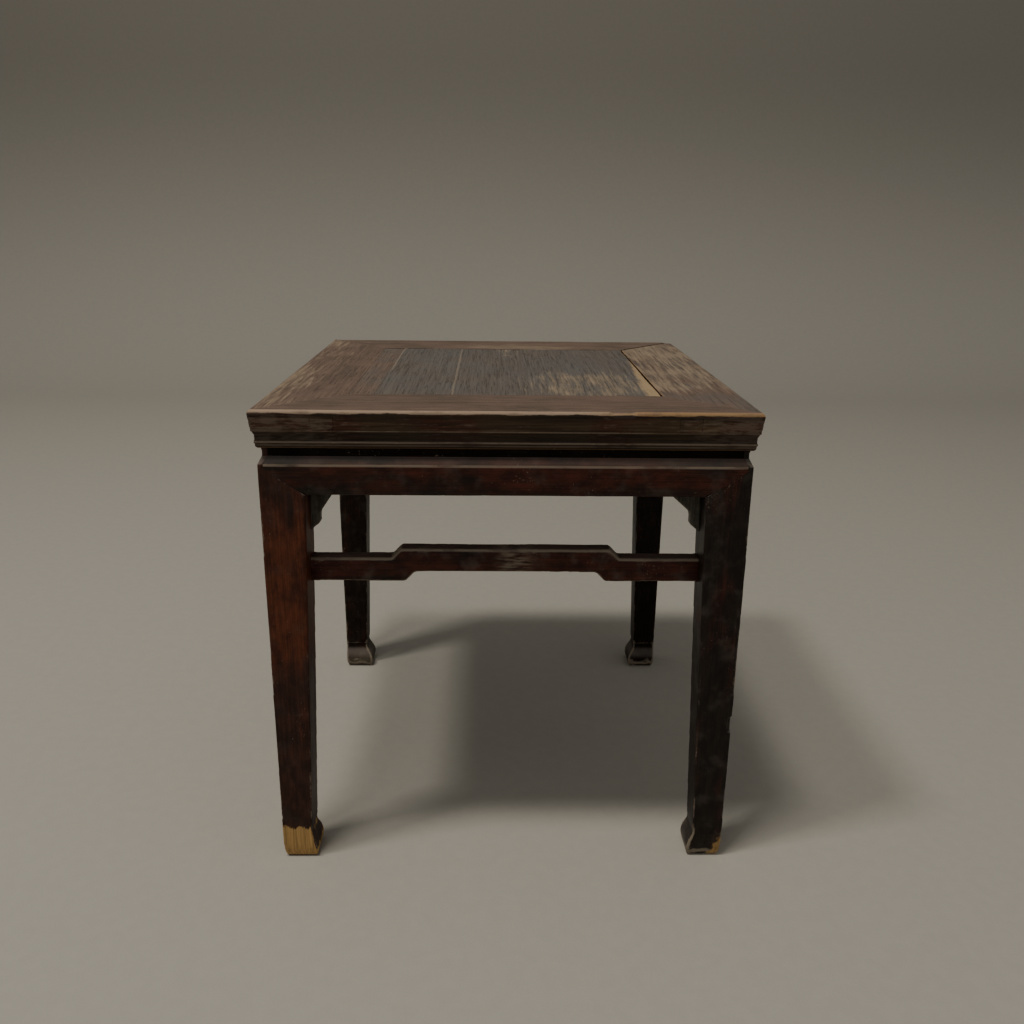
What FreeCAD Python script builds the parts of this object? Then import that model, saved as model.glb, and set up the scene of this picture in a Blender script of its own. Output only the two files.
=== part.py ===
import FreeCAD, Part
import math
import operator
import os
from types import SimpleNamespace

import Sketcher

# Square side table with a waisted top, humpback stretchers and hoof feet, in millimetres.
# +Z is up, -Y is the front, and the origin is on the floor under the middle of the top.

# Driving dimensions: the sheet's alias, its value and what it measures
SIZES = [
    ("top_side", 500, "side of the square top at its widest"),
    ("total_height", 518, "floor to tabletop"),
    ("frame_width", 85, "width of a top frame member"),
    ("frame_thick", 39, "thickness of a top frame member"),
    ("edge_round", 4, "radius of the top arris, and tabletop down to its start"),
    ("edge_round_inset", 2.8, "end of that arris on the tabletop in from the widest edge"),
    ("edge_rake", 1.8, "lean of the edge's upper face"),
    ("edge_step", 0.8, "depth of the step under that face"),
    ("cove_height", 9.6, "height of the hollow under the step"),
    ("cove_radius", 15, "radius of that hollow"),
    ("bead_height", 2.6, "height of the bead under the hollow"),
    ("bead_inset", 4.3, "bead's root in from the widest edge"),
    ("lip_height", 4.9, "height of the rounded lip under the bead"),
    ("lip_round", 4, "radius of that lip"),
    ("edge_inset", 7, "bottom of the moulded edge in from the widest edge"),
    ("tenon_width", 22, "width of a side member's through tenon"),
    ("tenon_thick", 14, "thickness of that tenon"),
    ("tenon_shoulder", 3, "opening's edge to that tenon"),
    ("tenon_drop", 6, "tabletop to the top of that tenon"),
    ("fit", 0.1, "clearance of a tenon or tongue in its seat, each side"),
    ("panel_thick", 14.6, "thickness of the panel boards"),
    ("panel_recess", 0.4, "panel below the frame's top"),
    ("panel_tongue", 6.6, "reach of the panel's tongue into the frame"),
    ("panel_tongue_thick", 5.8, "thickness of that tongue"),
    ("panel_tongue_rise", 1.5, "panel's underside to that tongue"),
    ("groove_depth", 7, "depth of the frame's groove for the tongue"),
    ("end_gap", 0.5, "gap at the panel's front and back ends"),
    ("shrink_gap", 1.6, "gap along the panel's right edge"),
    ("narrow_width", 26.5, "width of the narrow board"),
    ("middle_width", 79.5, "width of the middle board"),
    ("board_tongue", 4, "tongue between boards, reach and thickness"),
    ("board_tongue_rise", 3, "panel's underside to that tongue"),
    ("batten_place", 82, "middle of the table to the middle of a batten"),
    ("batten_width", 28, "width of a batten"),
    ("batten_height", 21.5, "height of a batten under the panel"),
    ("dovetail_depth", 4, "batten's dovetail into the panel"),
    ("dovetail_neck", 16, "width of that dovetail at the panel's underside"),
    ("dovetail_flare", 2, "how far that dovetail widens on each side"),
    ("batten_tenon", 15, "length of a batten's tenon"),
    ("batten_tenon_width", 14, "width of a batten's tenon"),
    ("batten_tenon_height", 12, "height of a batten's tenon"),
    ("batten_tenon_rise", 4.5, "batten's underside to its tenon"),
    ("waist_height", 8.5, "height of the recessed waist"),
    ("waist_inset", 9, "waist's face in from the top's widest edge"),
    ("waist_tongue", 3, "tongue of the waist strip, reach and thickness"),
    ("waist_tongue_inset", 2.5, "waist's face to its tongue"),
    ("shoulder_drop", 8.5, "height of the apron's sloping shoulder"),
    ("apron_inset", 4.5, "apron's face in from the top's widest edge"),
    ("apron_height", 31, "height of the apron's upright face"),
    ("apron_thick", 28, "thickness of the apron"),
    ("apron_bevel", 2.5, "depth of the bevel on the apron's lower arris"),
    ("apron_bevel_height", 5, "height of that bevel"),
    ("mitre_depth", 12, "depth of the apron's mitred lap on the leg"),
    ("corner_band", 5, "width of the leg's strip beside the corner of the waist"),
    ("key_place", 29, "leg's outer face to the middle of its dovetail key"),
    ("key_depth", 6, "depth of that key"),
    ("key_neck", 6, "width of that key at its root"),
    ("key_flare", 1.5, "how far that key widens on each side"),
    ("leg_top", 45.5, "leg's section under the apron"),
    ("leg_ankle", 33.5, "leg's section above the hoof"),
    ("leg_splay", 3, "how far the leg leans out from apron to ankle"),
    ("leg_bevel", 2.2, "bevel on the leg's inner arrises under the apron"),
    ("ankle_bevel", 0.8, "the same bevel above the hoof"),
    ("hoof_height", 38, "height of the hoof"),
    ("hoof_flare_front", 4.6, "how far a front leg's hoof turns in"),
    ("hoof_flare_back", 8.5, "the same on a back leg, which is less worn"),
    ("hoof_tuck", 4, "how far the hoof's outer edge rolls in at the sole"),
    ("leg_tenon", 11, "side of a leg's tenon into the frame"),
    ("leg_tenon_height", 22, "height of that tenon"),
    ("leg_tenon_outer", 1, "post's outer face to its outer tenon face"),
    ("leg_tenon_inner", 4, "post's inner face to its inner tenon face"),
    ("stretcher_drop", 100, "apron's underside to the stretcher's underside at the legs"),
    ("stretcher_height", 25.5, "height of the stretcher's section"),
    ("stretcher_thick", 18, "thickness of the stretcher"),
    ("stretcher_setback", 21.5, "apron's face to the stretcher's front face"),
    ("hump_rise", 10, "rise of the stretcher's hump"),
    ("hump_top", 218, "length of the hump's upper flat"),
    ("hump_under", 191, "length of the hump's lower flat"),
    ("hump_ramp", 9.5, "length of a ramp of the hump"),
    ("ramp_round", 5, "rounding at the ends of a ramp"),
    ("stretcher_round", 4, "rounding of the stretcher's upper front arris"),
    ("stretcher_tenon", 14, "length of the stretcher's tenon"),
    ("stretcher_tenon_thick", 9, "thickness of that tenon"),
    ("stretcher_tenon_height", 17, "height of that tenon"),
    ("bracket_width", 30, "width of a corner bracket along the apron"),
    ("bracket_width_front_left", 25, "the same on the front left bracket, which is narrower"),
    ("bracket_width_front_right", 34, "the same on the front right bracket, which is wider"),
    ("bracket_height", 46, "height of a corner bracket under the apron"),
    ("bracket_thick", 12, "thickness of a corner bracket"),
    ("bracket_lap", 18, "how far a bracket laps up behind the apron"),
    ("bracket_nose", 2.5, "height of a bracket's blunt tip"),
    ("bracket_turn", 23, "apron's underside down to where a bracket's slope turns down"),
    ("bracket_turn_height", 8, "height of that turn"),
    ("bracket_turn_width", 3, "width of that turn"),
    ("bracket_turn_round", 15, "radius of that turn"),
    ("bracket_waist", 8, "bracket's width under that turn"),
    ("bracket_heel", 7, "height of the upright stretch under that turn"),
    ("peg_side", 4, "side of a bracket's square peg"),
    ("peg_depth", 10, "reach of a peg into the apron"),
    ("peg_rise", 9, "apron's underside to a peg"),
    ("peg_near", 8, "leg's inner face to the nearer peg"),
    ("peg_pitch", 11, "distance between a bracket's pegs"),
]

doc = FreeCAD.newDocument("SquareSideTable")
sheet = doc.addObject("Spreadsheet::Sheet", "Sizes")
for row, (alias, value, note) in enumerate(SIZES, start=1):
    sheet.set(f"A{row}", note)
    sheet.set(f"B{row}", str(value))
    sheet.setAlias(f"B{row}", alias)
doc.recompute()

OPERATIONS = {"+": operator.add, "-": operator.sub, "*": operator.mul, "/": operator.truediv}


class Size:
    """A length with its present value and the sheet expression that drives it."""

    def __init__(self, text, value):
        self.text = text
        self.value = value

    def joined(self, sign, other):
        other = as_size(other)
        return Size(f"({self.text} {sign} {other.text})", OPERATIONS[sign](self.value, other.value))

    def __add__(self, other):
        return self.joined("+", other)

    def __sub__(self, other):
        return self.joined("-", other)

    def __mul__(self, other):
        return self.joined("*", other)

    def __truediv__(self, other):
        return self.joined("/", other)

    def __neg__(self):
        return Size(f"(-1 * {self.text})", -self.value)


def as_size(number):
    """A plain number as a Size."""
    if isinstance(number, Size):
        return number
    return Size(repr(float(number)), float(number))


size = SimpleNamespace(**{alias: Size(f"Sizes.{alias}", float(sheet.get(alias))) for alias, _, _ in SIZES})

# Levels above the floor
half_top = size.top_side / 2
frame_under = size.total_height - size.frame_thick
waist_under = frame_under - size.waist_height
ridge = waist_under - size.shoulder_drop
apron_under = ridge - size.apron_height
panel_top = size.total_height - size.panel_recess
panel_under = panel_top - size.panel_thick
tongue_under = panel_under + size.panel_tongue_rise
tongue_top = tongue_under + size.panel_tongue_thick
tenon_top = size.total_height - size.tenon_drop
tenon_under = tenon_top - size.tenon_thick
lip_top = frame_under + size.lip_height
bead_under = lip_top + size.edge_step / 2
cove_under = bead_under + size.bead_height
step_level = cove_under + size.cove_height
stretcher_under = apron_under - size.stretcher_drop
stretcher_top = stretcher_under + size.stretcher_height

# Distances from the middle of the table
opening = half_top - size.frame_width
waist_face = half_top - size.waist_inset
apron_face = half_top - size.apron_inset
apron_back = apron_face - size.apron_thick
post_face = apron_face - size.mitre_depth
leg_inner = apron_face - size.leg_top
ankle_out = apron_face + size.leg_splay
ankle_inner = ankle_out - size.leg_ankle
tongue_outer = waist_face - size.waist_tongue_inset
tongue_inner = tongue_outer - size.waist_tongue
tenon_inner = opening + size.tenon_shoulder
tenon_outer = tenon_inner + size.tenon_width
stretcher_front = apron_face - size.stretcher_setback
stretcher_back = stretcher_front - size.stretcher_thick
bracket_back = apron_back - size.bracket_thick

# Places nearer than this are the same
TOLERANCE = 1e-4

# How far a cut runs past the wood that it trims
OVERRUN = 1

# Radius of the edge's bead, as a share of its height
BEAD_FULLNESS = 0.58

sub_parts = []


def inner_face_at(level):
    """Distance from the middle of the table to a leg's inner face at a level under the apron."""
    share = (apron_under - level) / (apron_under - size.hoof_height)
    return leg_inner + (ankle_inner - leg_inner) * share


def new_body(label, turn=0):
    """A body that is modelled facing the front and turned about the table's upright axis."""
    body = doc.addObject("PartDesign::Body", label)
    body.Label = label
    body.Placement = FreeCAD.Placement(FreeCAD.Vector(), FreeCAD.Rotation(FreeCAD.Vector(0, 0, 1), turn))
    sub_parts.append(body)
    return body


def new_sketch(body, plane, lift):
    """An empty sketch on one of the body's own planes, moved along its normal by lift."""
    sketch = body.newObject("Sketcher::SketchObject", body.Name + "_sketch")
    support = next(f for f in body.Origin.OriginFeatures if f.Role == plane)
    sketch.AttachmentSupport = (support, [""])
    sketch.MapMode = "FlatFace"
    sketch.setExpression("AttachmentOffset.Base.z", as_size(lift).text)
    return sketch


def bind(sketch, constraint, expression):
    """Adds a constraint and ties its value to the sheet."""
    index = sketch.addConstraint(constraint)
    sketch.setExpression(f"Constraints[{index}]", expression.text)


def arc_between(start, end, radius, side):
    """The arc from start to end that bulges to the left of the way (side 1) or to its right (-1)."""
    chord = end - start
    sagitta = radius - math.sqrt(radius**2 - chord.Length**2 / 4)
    left = FreeCAD.Vector(-chord.y, chord.x, 0) / chord.Length
    return Part.Arc(start, (start + end) / 2 + left * side * sagitta, end)


def outline(body, plane, lift, corners, arcs=None):
    """A closed sketch through corners, with an arc after each corner that arcs gives (radius, side) for."""
    arcs = arcs or {}
    corners = [(as_size(x), as_size(y)) for x, y in corners]
    sketch = new_sketch(body, plane, lift)
    count = len(corners)
    points = [FreeCAD.Vector(x.value, y.value, 0) for x, y in corners]
    ends = []
    for k in range(count):
        start, end = points[k], points[(k + 1) % count]
        if k in arcs:
            radius, side = arcs[k]
            sketch.addGeometry(arc_between(start, end, radius.value, side), False)
            # a sketch arc runs counterclockwise, so one that bulges left is held end first
            ends.append((2, 1) if side > 0 else (1, 2))
        else:
            sketch.addGeometry(Part.LineSegment(start, end), False)
            ends.append((1, 2))
    for k in range(count):
        follower = (k + 1) % count
        sketch.addConstraint(Sketcher.Constraint("Coincident", k, ends[k][1], follower, ends[follower][0]))
    for k, (x, y) in enumerate(corners):
        bind(sketch, Sketcher.Constraint("DistanceX", -1, 1, k, ends[k][0], x.value), x)
        bind(sketch, Sketcher.Constraint("DistanceY", -1, 1, k, ends[k][0], y.value), y)
    for k, (radius, side) in arcs.items():
        bind(sketch, Sketcher.Constraint("Radius", k, radius.value), radius)
    return sketch


def rectangle(body, plane, lift, x_ends, y_ends):
    """A rectangular sketch between two places along each of the plane's axes."""
    (x0, x1), (y0, y1) = x_ends, y_ends
    return outline(body, plane, lift, [(x0, y0), (x1, y0), (x1, y1), (x0, y1)])


def pad(body, sketch, length, symmetric=False):
    """Pads a sketch along its normal, or to both sides of it."""
    feature = body.newObject("PartDesign::Pad", body.Name + "_pad")
    feature.Profile = sketch
    feature.SideType = "Symmetric" if symmetric else "One side"
    feature.setExpression("Length", length.text)
    return feature


def pocket(body, sketch, length=None):
    """Cuts a sketch against its normal by length, or right through to both sides."""
    feature = body.newObject("PartDesign::Pocket", body.Name + "_pocket")
    feature.Profile = sketch
    if length is None:
        feature.Type = "ThroughAll"
        feature.SideType = "Symmetric"
    else:
        feature.setExpression("Length", length.text)
    return feature


def loft(body, sketches, ruled):
    """Joins sketches by a loft, with straight or smooth sides."""
    feature = body.newObject("PartDesign::AdditiveLoft", body.Name + "_loft")
    feature.Profile = sketches[0]
    feature.Sections = sketches[1:]
    feature.Ruled = ruled
    return feature


def edge_face_at(level):
    """Distance from the middle of the table to the upper face of the moulded edge at a level."""
    share = (level - step_level) / (size.total_height - size.edge_round - step_level)
    return half_top - size.edge_rake + size.edge_rake * share


def frame_member(label, turn):
    """A top frame member with its moulded edge, panel groove, waist groove, mitres and leg mortises."""
    body = new_body(label, turn)
    bead_root = half_top - size.bead_inset
    profile = outline(
        body,
        "YZ_Plane",
        0,
        [
            (-opening, frame_under),
            (-(tongue_inner - size.fit), frame_under),
            (-(tongue_inner - size.fit), frame_under + size.waist_tongue + size.fit),
            (-(tongue_outer + size.fit), frame_under + size.waist_tongue + size.fit),
            (-(tongue_outer + size.fit), frame_under),
            (-(half_top - size.edge_inset), frame_under),
            (-(bead_root - size.edge_step / 2), lip_top),
            (-bead_root, bead_under),
            (-bead_root, cove_under),
            (-(half_top - size.edge_rake - size.edge_step), step_level),
            (-(half_top - size.edge_rake), step_level),
            (-half_top, size.total_height - size.edge_round),
            (-(half_top - size.edge_round_inset), size.total_height),
            (-opening, size.total_height),
            (-opening, tongue_top + size.fit),
            (-(opening + size.groove_depth), tongue_top + size.fit),
            (-(opening + size.groove_depth), tongue_under - size.fit),
            (-opening, tongue_under - size.fit),
        ],
        {
            5: (size.lip_round, 1),
            7: (size.bead_height * BEAD_FULLNESS, 1),
            8: (size.cove_radius, -1),
            11: (size.edge_round, 1),
        },
    )
    pad(body, profile, size.top_side, symmetric=True)
    outer = half_top + OVERRUN
    inner = opening - OVERRUN
    for end in (-1, 1):
        mitre = [(outer * end, -outer), (outer * end, -inner), (inner * end, -inner)]
        cut = outline(body, "XY_Plane", size.total_height + OVERRUN, mitre)
        pocket(body, cut, size.frame_thick + 2 * OVERRUN)
        far_x = leg_inner + size.leg_tenon_inner
        near_y = post_face - size.leg_tenon_outer
        mortise = rectangle(
            body,
            "XY_Plane",
            frame_under + size.leg_tenon_height + size.fit,
            ((far_x - size.fit) * end, (far_x + size.leg_tenon + size.fit) * end),
            (-(near_y + size.fit), -(near_y - size.leg_tenon - size.fit)),
        )
        pocket(body, mortise, size.leg_tenon_height + size.fit)
    return body


def mortised_member(label, turn):
    """The front or back frame member, which the side members' tenons pass through."""
    body = frame_member(label, turn)
    for end in (-1, 1):
        mortise = rectangle(
            body,
            "XZ_Plane",
            0,
            ((tenon_inner - size.fit) * end, (tenon_outer + size.fit) * end),
            (tenon_under - size.fit, tenon_top + size.fit),
        )
        pocket(body, mortise)
    return body


def tenoned_member(label, turn):
    """A side frame member: its tenons end flush in the moulded edge, and the battens seat in it."""
    body = frame_member(label, turn)
    batten_level = panel_under - size.batten_height + size.batten_tenon_rise
    for end in (-1, 1):
        tenon = outline(
            body,
            "XZ_Plane",
            tenon_inner,
            [
                (opening * end, tenon_under),
                (edge_face_at(tenon_under) * end, tenon_under),
                (edge_face_at(tenon_top) * end, tenon_top),
                (opening * end, tenon_top),
            ],
        )
        pad(body, tenon, size.tenon_width)
        middle = size.batten_place * end
        half_width = size.batten_tenon_width / 2 + size.fit
        seat = rectangle(
            body,
            "XZ_Plane",
            opening + size.batten_tenon + size.fit,
            (middle - half_width, middle + half_width),
            (batten_level - size.fit, batten_level + size.batten_tenon_height + size.fit),
        )
        pocket(body, seat, size.batten_tenon + size.fit)
    return body


def panel_board(label, left, right, tongue_left, tongue_right, groove_left):
    """One board of the panel, with tongues into the frame or the next board and slots for the battens."""
    body = new_body(label)
    length = (opening - size.end_gap) * 2
    pad(body, rectangle(body, "XZ_Plane", 0, (left, right), (panel_under, panel_top)), length, symmetric=True)
    tongue_level = (tongue_under, tongue_top)
    ends = rectangle(body, "XZ_Plane", 0, (left, right), tongue_level)
    pad(body, ends, (opening + size.panel_tongue) * 2, symmetric=True)
    joint_level = panel_under + size.board_tongue_rise
    if tongue_left:
        edge = rectangle(body, "XZ_Plane", 0, (-(opening + size.panel_tongue), left), tongue_level)
        pad(body, edge, length, symmetric=True)
    if tongue_right:
        edge = rectangle(body, "XZ_Plane", 0, (right, opening + size.panel_tongue), tongue_level)
        pad(body, edge, length, symmetric=True)
    else:
        reach = right + size.board_tongue
        edge = rectangle(body, "XZ_Plane", 0, (right, reach), (joint_level, joint_level + size.board_tongue))
        pad(body, edge, length, symmetric=True)
    if groove_left:
        reach = left + size.board_tongue + size.fit
        levels = (joint_level - size.fit, joint_level + size.board_tongue + size.fit)
        pocket(body, rectangle(body, "XZ_Plane", 0, (left, reach), levels))
    for place in (-size.batten_place, size.batten_place):
        pocket(body, outline(body, "YZ_Plane", 0, dovetail(place, size.fit)))
    return body


def dovetail(place, room):
    """The outline of a batten's dovetail, or with room its slot, seen along the batten."""
    neck = size.dovetail_neck / 2 + room
    crown = neck + size.dovetail_flare
    crown_level = panel_under + size.dovetail_depth + room
    return [
        (place - neck, panel_under),
        (place + neck, panel_under),
        (place + crown, crown_level),
        (place - crown, crown_level),
    ]


def batten(label, place):
    """A batten under the panel: a bar, its dovetail along the top and a tenon at each end."""
    body = new_body(label)
    under = panel_under - size.batten_height
    half_width = size.batten_width / 2
    bar = rectangle(body, "YZ_Plane", 0, (place - half_width, place + half_width), (under, panel_under))
    pad(body, bar, opening * 2, symmetric=True)
    pad(body, outline(body, "YZ_Plane", 0, dovetail(place, 0)), opening * 2, symmetric=True)
    half_width = size.batten_tenon_width / 2
    levels = (under + size.batten_tenon_rise, under + size.batten_tenon_rise + size.batten_tenon_height)
    tenon = rectangle(body, "YZ_Plane", 0, (place - half_width, place + half_width), levels)
    pad(body, tenon, (opening + size.batten_tenon) * 2, symmetric=True)
    return body


def cut_corner_bands(body):
    """Trims both ends back to the leg's strip beside the corner, on planes at 45 degrees."""
    outer = apron_face + OVERRUN
    inner = post_face - OVERRUN
    for end in (-1, 1):
        trim = outline(
            body,
            "XY_Plane",
            0,
            [
                (outer * end, -outer),
                ((outer - size.corner_band) * end, -outer),
                ((inner - size.corner_band) * end, -inner),
                (outer * end, -inner),
            ],
        )
        pocket(body, trim)


def waist_strip(label, turn):
    """A waist strip with a tongue up into the frame and one down into the apron."""
    body = new_body(label, turn)
    profile = outline(
        body,
        "YZ_Plane",
        0,
        [
            (-post_face, waist_under),
            (-tongue_inner, waist_under),
            (-tongue_inner, waist_under - size.waist_tongue),
            (-tongue_outer, waist_under - size.waist_tongue),
            (-tongue_outer, waist_under),
            (-waist_face, waist_under),
            (-waist_face, frame_under),
            (-tongue_outer, frame_under),
            (-tongue_outer, frame_under + size.waist_tongue),
            (-tongue_inner, frame_under + size.waist_tongue),
            (-tongue_inner, frame_under),
            (-post_face, frame_under),
        ],
    )
    pad(body, profile, waist_face * 2, symmetric=True)
    cut_corner_bands(body)
    return body


def key_outline(end, room):
    """Plan of the dovetail key on a leg's front, or with room of its slot in the apron."""
    middle = (apron_face - size.key_place) * end
    root = size.key_neck / 2 + room
    crown = root + size.key_flare
    tip = post_face + size.key_depth + room
    return [
        (middle - root, -post_face),
        (middle + root, -post_face),
        (middle + crown, -tip),
        (middle - crown, -tip),
    ]


def peg_places(end):
    """Where a bracket's pegs stand along the apron."""
    nearer = leg_inner - size.peg_near
    return [nearer * end, (nearer - size.peg_pitch) * end]


def apron(label, turn):
    """An apron whose shoulder and face lap the legs with a mitre, held by a dovetail key at each end."""
    body = new_body(label, turn)
    back = rectangle(body, "YZ_Plane", 0, (-post_face, -apron_back), (apron_under, waist_under))
    pad(body, back, leg_inner * 2, symmetric=True)
    groove_under = waist_under - size.waist_tongue - size.fit
    front = outline(
        body,
        "YZ_Plane",
        0,
        [
            (-post_face, apron_under),
            (-(apron_face - size.apron_bevel), apron_under),
            (-apron_face, apron_under + size.apron_bevel_height),
            (-apron_face, ridge),
            (-waist_face, waist_under),
            (-(tongue_outer + size.fit), waist_under),
            (-(tongue_outer + size.fit), groove_under),
            (-(tongue_inner - size.fit), groove_under),
            (-(tongue_inner - size.fit), waist_under),
            (-post_face, waist_under),
        ],
    )
    pad(body, front, apron_face * 2, symmetric=True)
    for end in (-1, 1):
        mitre = outline(
            body,
            "XZ_Plane",
            0,
            [(apron_face * end, ridge), (leg_inner * end, apron_under), (apron_face * end, apron_under)],
        )
        pocket(body, mitre)
        slot = outline(body, "XY_Plane", ridge, key_outline(end, size.fit))
        pocket(body, slot, size.apron_height)
        hole_end = apron_back + size.peg_depth + size.fit
        for place in peg_places(end):
            pocket(body, peg_hole(body, hole_end, place), size.peg_depth + size.fit)
    cut_corner_bands(body)
    return body


def peg_hole(body, lift, place):
    """A sketch of a peg's square hole."""
    half = size.peg_side / 2 + size.fit
    level = apron_under + size.peg_rise
    return rectangle(body, "XZ_Plane", lift, (place - half, place + half), (level - half, level + half))


def leg_section(out, inner, bevel, side_x, side_y):
    """A leg's section: square, with its two inner arrises on the outer faces bevelled."""
    return [
        (out * side_x, out * side_y),
        ((inner + bevel) * side_x, out * side_y),
        (inner * side_x, (out - bevel) * side_y),
        (inner * side_x, inner * side_y),
        ((out - bevel) * side_x, inner * side_y),
        (out * side_x, (inner + bevel) * side_y),
    ]


def post_section(face, side_x, side_y):
    """Section of the leg's head: a square post and the strip that reaches the corner between the aprons."""
    band = size.corner_band
    corners = [
        (face, face),
        (face - band, face),
        (post_face - band, post_face),
        (leg_inner, post_face),
        (leg_inner, leg_inner),
        (post_face, leg_inner),
        (post_face, post_face - band),
        (face, face - band),
    ]
    return [(x * side_x, y * side_y) for x, y in corners]


def mitred_lap(side):
    """The part of a leg's outer face, above its mitre, that an apron's end covers."""
    return [(apron_face * side, ridge), (leg_inner * side, ridge), (leg_inner * side, apron_under)]


def leg(label, side_x, side_y):
    """A tapered leg with a hoof, the mitred shoulders that the aprons lap, two tenons and a mortise."""
    body = new_body(label)

    def section(level, out, inner, bevel):
        return outline(body, "XY_Plane", level, leg_section(out, inner, bevel, side_x, side_y))

    loft(
        body,
        [
            section(apron_under, apron_face, leg_inner, size.leg_bevel),
            section(size.hoof_height, ankle_out, ankle_inner, size.ankle_bevel),
        ],
        ruled=True,
    )
    # the hoof: share of its height, of its turn inwards and of its tuck at the sole
    hoof_shape = [(1, 0, 0), (0.7, 0.14, 0), (0.4, 0.9, 0.05), (0.16, 0.95, 0.35), (0, 0.6, 1)]
    hoof = []
    for height, flare, tuck in hoof_shape:
        out = ankle_out - size.hoof_tuck * tuck
        inner = ankle_inner - (size.hoof_flare_front if side_y < 0 else size.hoof_flare_back) * flare
        hoof.append(section(size.hoof_height * height, out, inner, size.ankle_bevel))
    loft(body, hoof, ruled=False)

    block = rectangle(
        body,
        "XY_Plane",
        apron_under,
        (apron_face * side_x, leg_inner * side_x),
        (apron_face * side_y, leg_inner * side_y),
    )
    pad(body, block, size.apron_height)
    front_lap = outline(body, "XZ_Plane", apron_face if side_y < 0 else -post_face, mitred_lap(side_x))
    pocket(body, front_lap, size.mitre_depth)
    side_lap = outline(body, "YZ_Plane", apron_face if side_x > 0 else -post_face, mitred_lap(side_y))
    pocket(body, side_lap, size.mitre_depth)
    head = outline(body, "XY_Plane", apron_under, post_section(apron_face, side_x, side_y))
    pad(body, head, size.apron_height)
    front_key = [(x, y * -side_y) for x, y in key_outline(side_x, as_size(0))]
    side_key = [(y * -side_x, x) for x, y in key_outline(side_y, as_size(0))]
    for key in (front_key, side_key):
        pad(body, outline(body, "XY_Plane", apron_under, key), size.apron_height)

    lower = outline(body, "XY_Plane", ridge, post_section(apron_face, side_x, side_y))
    upper = outline(body, "XY_Plane", waist_under, post_section(waist_face, side_x, side_y))
    loft(body, [lower, upper], ruled=True)
    neck = outline(body, "XY_Plane", waist_under, post_section(waist_face, side_x, side_y))
    pad(body, neck, size.waist_height)

    near = (leg_inner + size.leg_tenon_inner, leg_inner + size.leg_tenon_inner + size.leg_tenon)
    far = (post_face - size.leg_tenon_outer - size.leg_tenon, post_face - size.leg_tenon_outer)
    for along_x, along_y in ((near, far), (far, near)):
        tenon = rectangle(
            body,
            "XY_Plane",
            frame_under,
            [x * side_x for x in along_x],
            [y * side_y for y in along_y],
        )
        pad(body, tenon, size.leg_tenon_height)

    mortise_end = inner_face_at(stretcher_under) + size.stretcher_tenon + size.fit
    mouth = leg_inner - OVERRUN
    middle = (stretcher_front + stretcher_back) / 2
    half_thick = size.stretcher_tenon_thick / 2 + size.fit
    level = stretcher_tenon_under()
    mortise = rectangle(
        body,
        "YZ_Plane",
        mortise_end if side_x > 0 else -mouth,
        ((middle - half_thick) * side_y, (middle + half_thick) * side_y),
        (level - size.fit, level + size.stretcher_tenon_height + size.fit),
    )
    pocket(body, mortise, mortise_end - mouth)
    return body


def stretcher_tenon_under():
    """Level of the underside of a stretcher's tenons, which sit at mid-height of its ends."""
    return stretcher_under + (size.stretcher_height - size.stretcher_tenon_height) / 2


def stretcher(label, turn):
    """A humpback stretcher with rounded ramps, a rounded upper front arris and a tenon at each end."""
    body = new_body(label, turn)
    low = stretcher_under
    high = stretcher_top
    rise = size.hump_rise
    under = size.hump_under / 2
    over = size.hump_top / 2
    right_half = [
        (under, low + rise),
        (under + size.hump_ramp, low),
        (inner_face_at(low), low),
        (inner_face_at(high), high),
        (over + size.hump_ramp, high),
        (over, high + rise),
    ]
    corners = right_half + [(-x, z) for x, z in reversed(right_half)]
    bar = pad(body, outline(body, "XZ_Plane", stretcher_back, corners), size.stretcher_thick)
    ramps = fillet(body, bar, size.ramp_round, on_ramp)
    fillet(body, ramps, size.stretcher_round, on_upper_front)
    tenon_back = (stretcher_front + stretcher_back - size.stretcher_tenon_thick) / 2
    root = leg_inner - size.stretcher_tenon
    reach = inner_face_at(low) + size.stretcher_tenon
    levels = (stretcher_tenon_under(), stretcher_tenon_under() + size.stretcher_tenon_height)
    for end in (-1, 1):
        tenon = rectangle(body, "XZ_Plane", tenon_back, (root * end, reach * end), levels)
        pad(body, tenon, size.stretcher_tenon_thick)
    return body


def fillet(body, base, radius, chosen):
    """Rounds the edges of a feature that a test chooses."""
    doc.recompute()
    names = [f"Edge{n}" for n, edge in enumerate(base.Shape.Edges, start=1) if chosen(edge)]
    feature = body.newObject("PartDesign::Fillet", body.Name + "_fillet")
    feature.Base = (base, names)
    feature.setExpression("Radius", radius.text)
    return feature


def on_ramp(edge):
    """True for a stretcher's edges across its thickness, apart from those at the legs."""
    first, last = (vertex.Point for vertex in edge.Vertexes)
    across = abs(first.x - last.x) < TOLERANCE and abs(first.z - last.z) < TOLERANCE
    return across and abs(first.x) < (leg_inner - size.stretcher_tenon).value


def on_upper_front(edge):
    """True for the edges of a stretcher's upper front arris, ramps included."""
    front = all(abs(vertex.Y + stretcher_front.value) < TOLERANCE for vertex in edge.Vertexes)
    return front and all(vertex.Z > stretcher_top.value - TOLERANCE for vertex in edge.Vertexes)


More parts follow.
